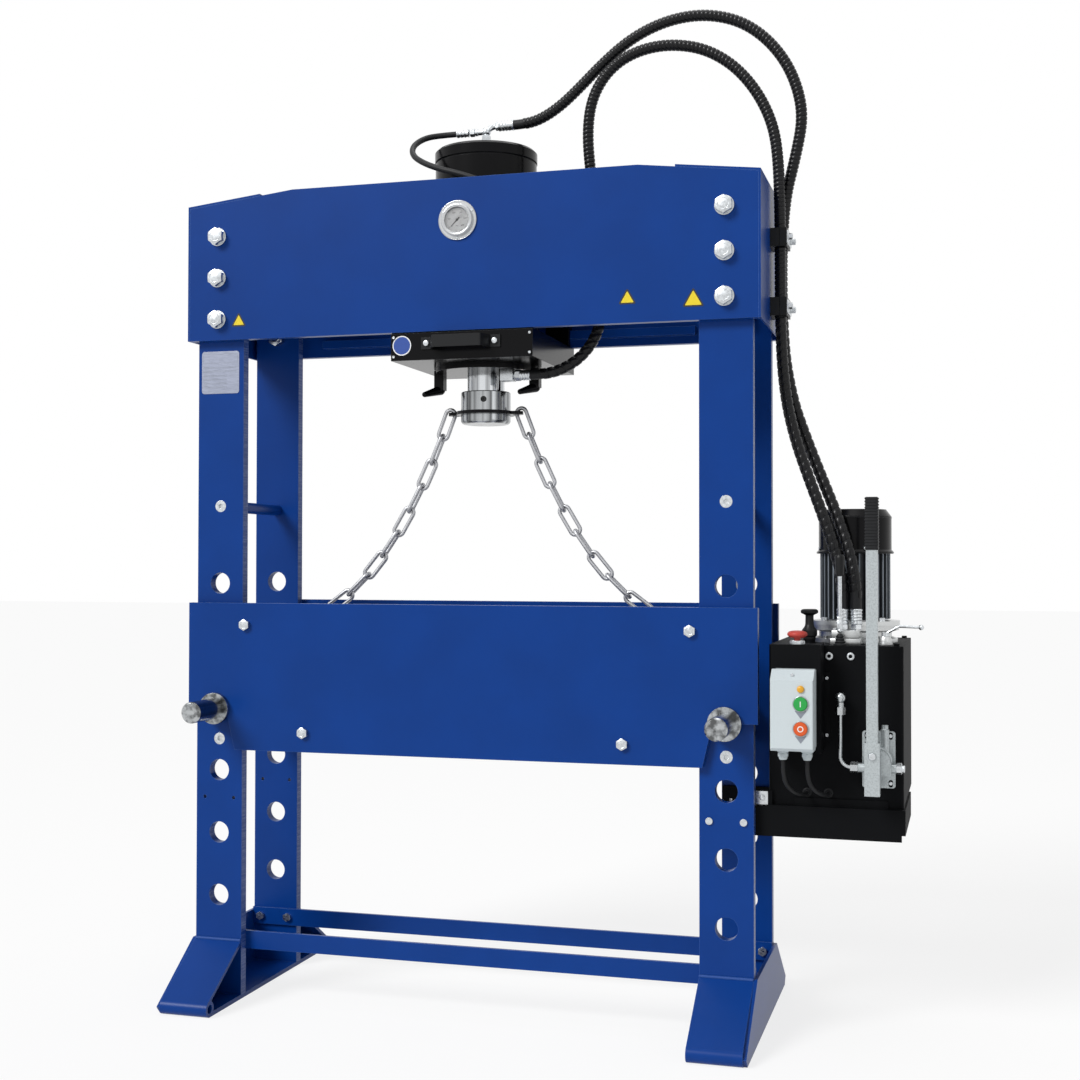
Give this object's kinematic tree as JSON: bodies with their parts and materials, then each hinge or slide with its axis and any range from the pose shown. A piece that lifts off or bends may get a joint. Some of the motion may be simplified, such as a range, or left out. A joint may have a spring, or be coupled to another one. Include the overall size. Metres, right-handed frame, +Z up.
{
  "type": "hydraulic workshop press",
  "caption": "Floor-standing H-frame hydraulic press with a sliding cylinder, pinned lifting table and side motor pump.",
  "frame": {"origin": "on the floor, midway between the four uprights", "axes": "+Z up; +X to the right as seen from the front, towards the pump unit; +Y to the back"},
  "size_m": [1.728, 0.68, 2.3405],
  "materials": {
    "blue_enamel": "satin enamel with a light orange peel",
    "black_enamel": "gloss enamel",
    "zinc_plated_steel": "bright zinc plating",
    "chromed_steel": "hard chrome, turned",
    "cast_aluminium": "die cast, as cast",
    "silver_paint": "silver hammer paint",
    "black_rubber": "matt",
    "black_plastic": "moulded",
    "grey_plastic": "moulded, fine grain",
    "green_plastic": "moulded",
    "orange_plastic": "moulded",
    "red_plastic": "moulded"
  },
  "bodies": {
    "frame": {"upright_front_left": "blue_enamel", "upright_front_right": "blue_enamel", "upright_rear_left": "blue_enamel", "upright_rear_right": "blue_enamel", "foot_left": "blue_enamel", "foot_right": "blue_enamel", "beam_front_plate": "blue_enamel", "beam_rear_plate": "blue_enamel", "beam_end_caps": "blue_enamel", "beam_bolts": "zinc_plated_steel", "column_spacers": "blue_enamel", "frame_screws": "zinc_plated_steel", "lower_rails": "blue_enamel", "gauge_case": "chromed_steel", "hose_clamps": "black_plastic", "pump_arms": "black_enamel", "tank_tray": "black_enamel", "oil_tank": "black_enamel", "tank_lid": "black_enamel", "bell_housing": "cast_aluminium", "motor_body": "black_enamel", "fan_cowl": "black_enamel", "valve_block": "zinc_plated_steel", "control_panel": "black_enamel", "starter_base": "grey_plastic", "starter_cover": "grey_plastic", "estop_collar": "zinc_plated_steel", "cable_glands": "black_plastic", "hand_pump_body": "silver_paint", "oil_pipe": "zinc_plated_steel", "hose_return": "black_rubber", "hose_pressure": "black_rubber", "gauge_hose": "black_rubber", "supply_cable": "black_rubber", "motor_cable": "black_rubber"},
    "carriage": {"carriage_plate": "black_enamel", "carriage_cover": "black_enamel", "carriage_handle": "black_enamel", "cylinder_barrel": "black_enamel", "gland_flange": "black_enamel", "hose_fittings": "zinc_plated_steel"},
    "ram": {"piston_rod": "chromed_steel", "nose_collar": "chromed_steel", "lifting_ring": "black_enamel", "lifting_chains": "zinc_plated_steel"},
    "table": {"table_front_plate": "blue_enamel", "table_rear_plate": "blue_enamel", "table_spacers": "zinc_plated_steel"},
    "pin_left": {"pin_left": "zinc_plated_steel"},
    "pin_right": {"pin_right": "zinc_plated_steel"},
    "pump_lever": {"hand_pump_lever": "silver_paint", "hand_pump_grip": "black_rubber"},
    "valve_lever": {"valve_lever": "zinc_plated_steel"},
    "selector_lever": {"selector_lever": "zinc_plated_steel"},
    "filler_cap": {"filler_cap": "black_plastic"},
    "start_button": {"start_button": "green_plastic"},
    "stop_button": {"stop_button": "orange_plastic"},
    "estop_button": {"estop_button": "red_plastic"},
    "gauge_needle": {"gauge_needle": "black_enamel"},
    "motor_rotor": {"motor_rotor": "cast_aluminium"}
  },
  "joints": [
    {"name": "carriage_slide", "type": "slide", "parent": "frame", "child": "carriage", "axis": [1, 0, 0], "range_m": [-0.3, 0.3], "deforming": ["hose_return", "hose_pressure", "gauge_hose", "lifting_chains"]},
    {"name": "ram_slide", "type": "slide", "parent": "carriage", "child": "ram", "axis": [0, 0, -1], "range_m": [0, 0.38], "deforming": ["lifting_chains"]},
    {"name": "table_lift", "type": "slide", "parent": "frame", "child": "table", "axis": [0, 0, 1], "range_m": [0, 0.3], "deforming": ["lifting_chains"]},
    {"name": "pin_left_slide", "type": "slide", "parent": "frame", "child": "pin_left", "axis": [0, -1, 0], "range_m": [0, 0.45]},
    {"name": "pin_right_slide", "type": "slide", "parent": "frame", "child": "pin_right", "axis": [0, -1, 0], "range_m": [0, 0.45]},
    {"name": "pump_lever_swing", "type": "hinge", "parent": "frame", "child": "pump_lever", "pos_m": [0.931, -0.2, 0.64], "axis": [0, 1, 0], "range_deg": [-20, 40]},
    {"name": "valve_lever_tilt", "type": "hinge", "parent": "frame", "child": "valve_lever", "pos_m": [0.856, -0.11, 0.8993], "axis": [1, 0, 0], "range_deg": [-9, 9], "stiffness_Nm_per_rad": 2},
    {"name": "selector_turn", "type": "hinge", "parent": "frame", "child": "selector_lever", "pos_m": [0.95, -0.06, 0.89], "axis": [0, 0, 1], "range_deg": [-90, 0]},
    {"name": "filler_cap_turn", "type": "hinge", "parent": "frame", "child": "filler_cap", "pos_m": [0.785, -0.06, 0.9], "axis": [0, 0, 1], "continuous": true},
    {"name": "start_press", "type": "slide", "parent": "frame", "child": "start_button", "axis": [0, 1, 0], "range_m": [0, 0.004], "stiffness_N_per_m": 400},
    {"name": "stop_press", "type": "slide", "parent": "frame", "child": "stop_button", "axis": [0, 1, 0], "range_m": [0, 0.004], "stiffness_N_per_m": 400},
    {"name": "estop_press", "type": "slide", "parent": "frame", "child": "estop_button", "axis": [0, 0, -1], "range_m": [0, 0.005]},
    {"name": "needle_turn", "type": "hinge", "parent": "frame", "child": "gauge_needle", "pos_m": [-0.003, -0.192, 1.836], "axis": [0, 1, 0], "range_deg": [0, 270], "stiffness_Nm_per_rad": 0.01},
    {"name": "rotor_spin", "type": "hinge", "parent": "frame", "child": "motor_rotor", "pos_m": [0.876, 0.065, 1], "axis": [0, 0, 1], "continuous": true}
  ]
}
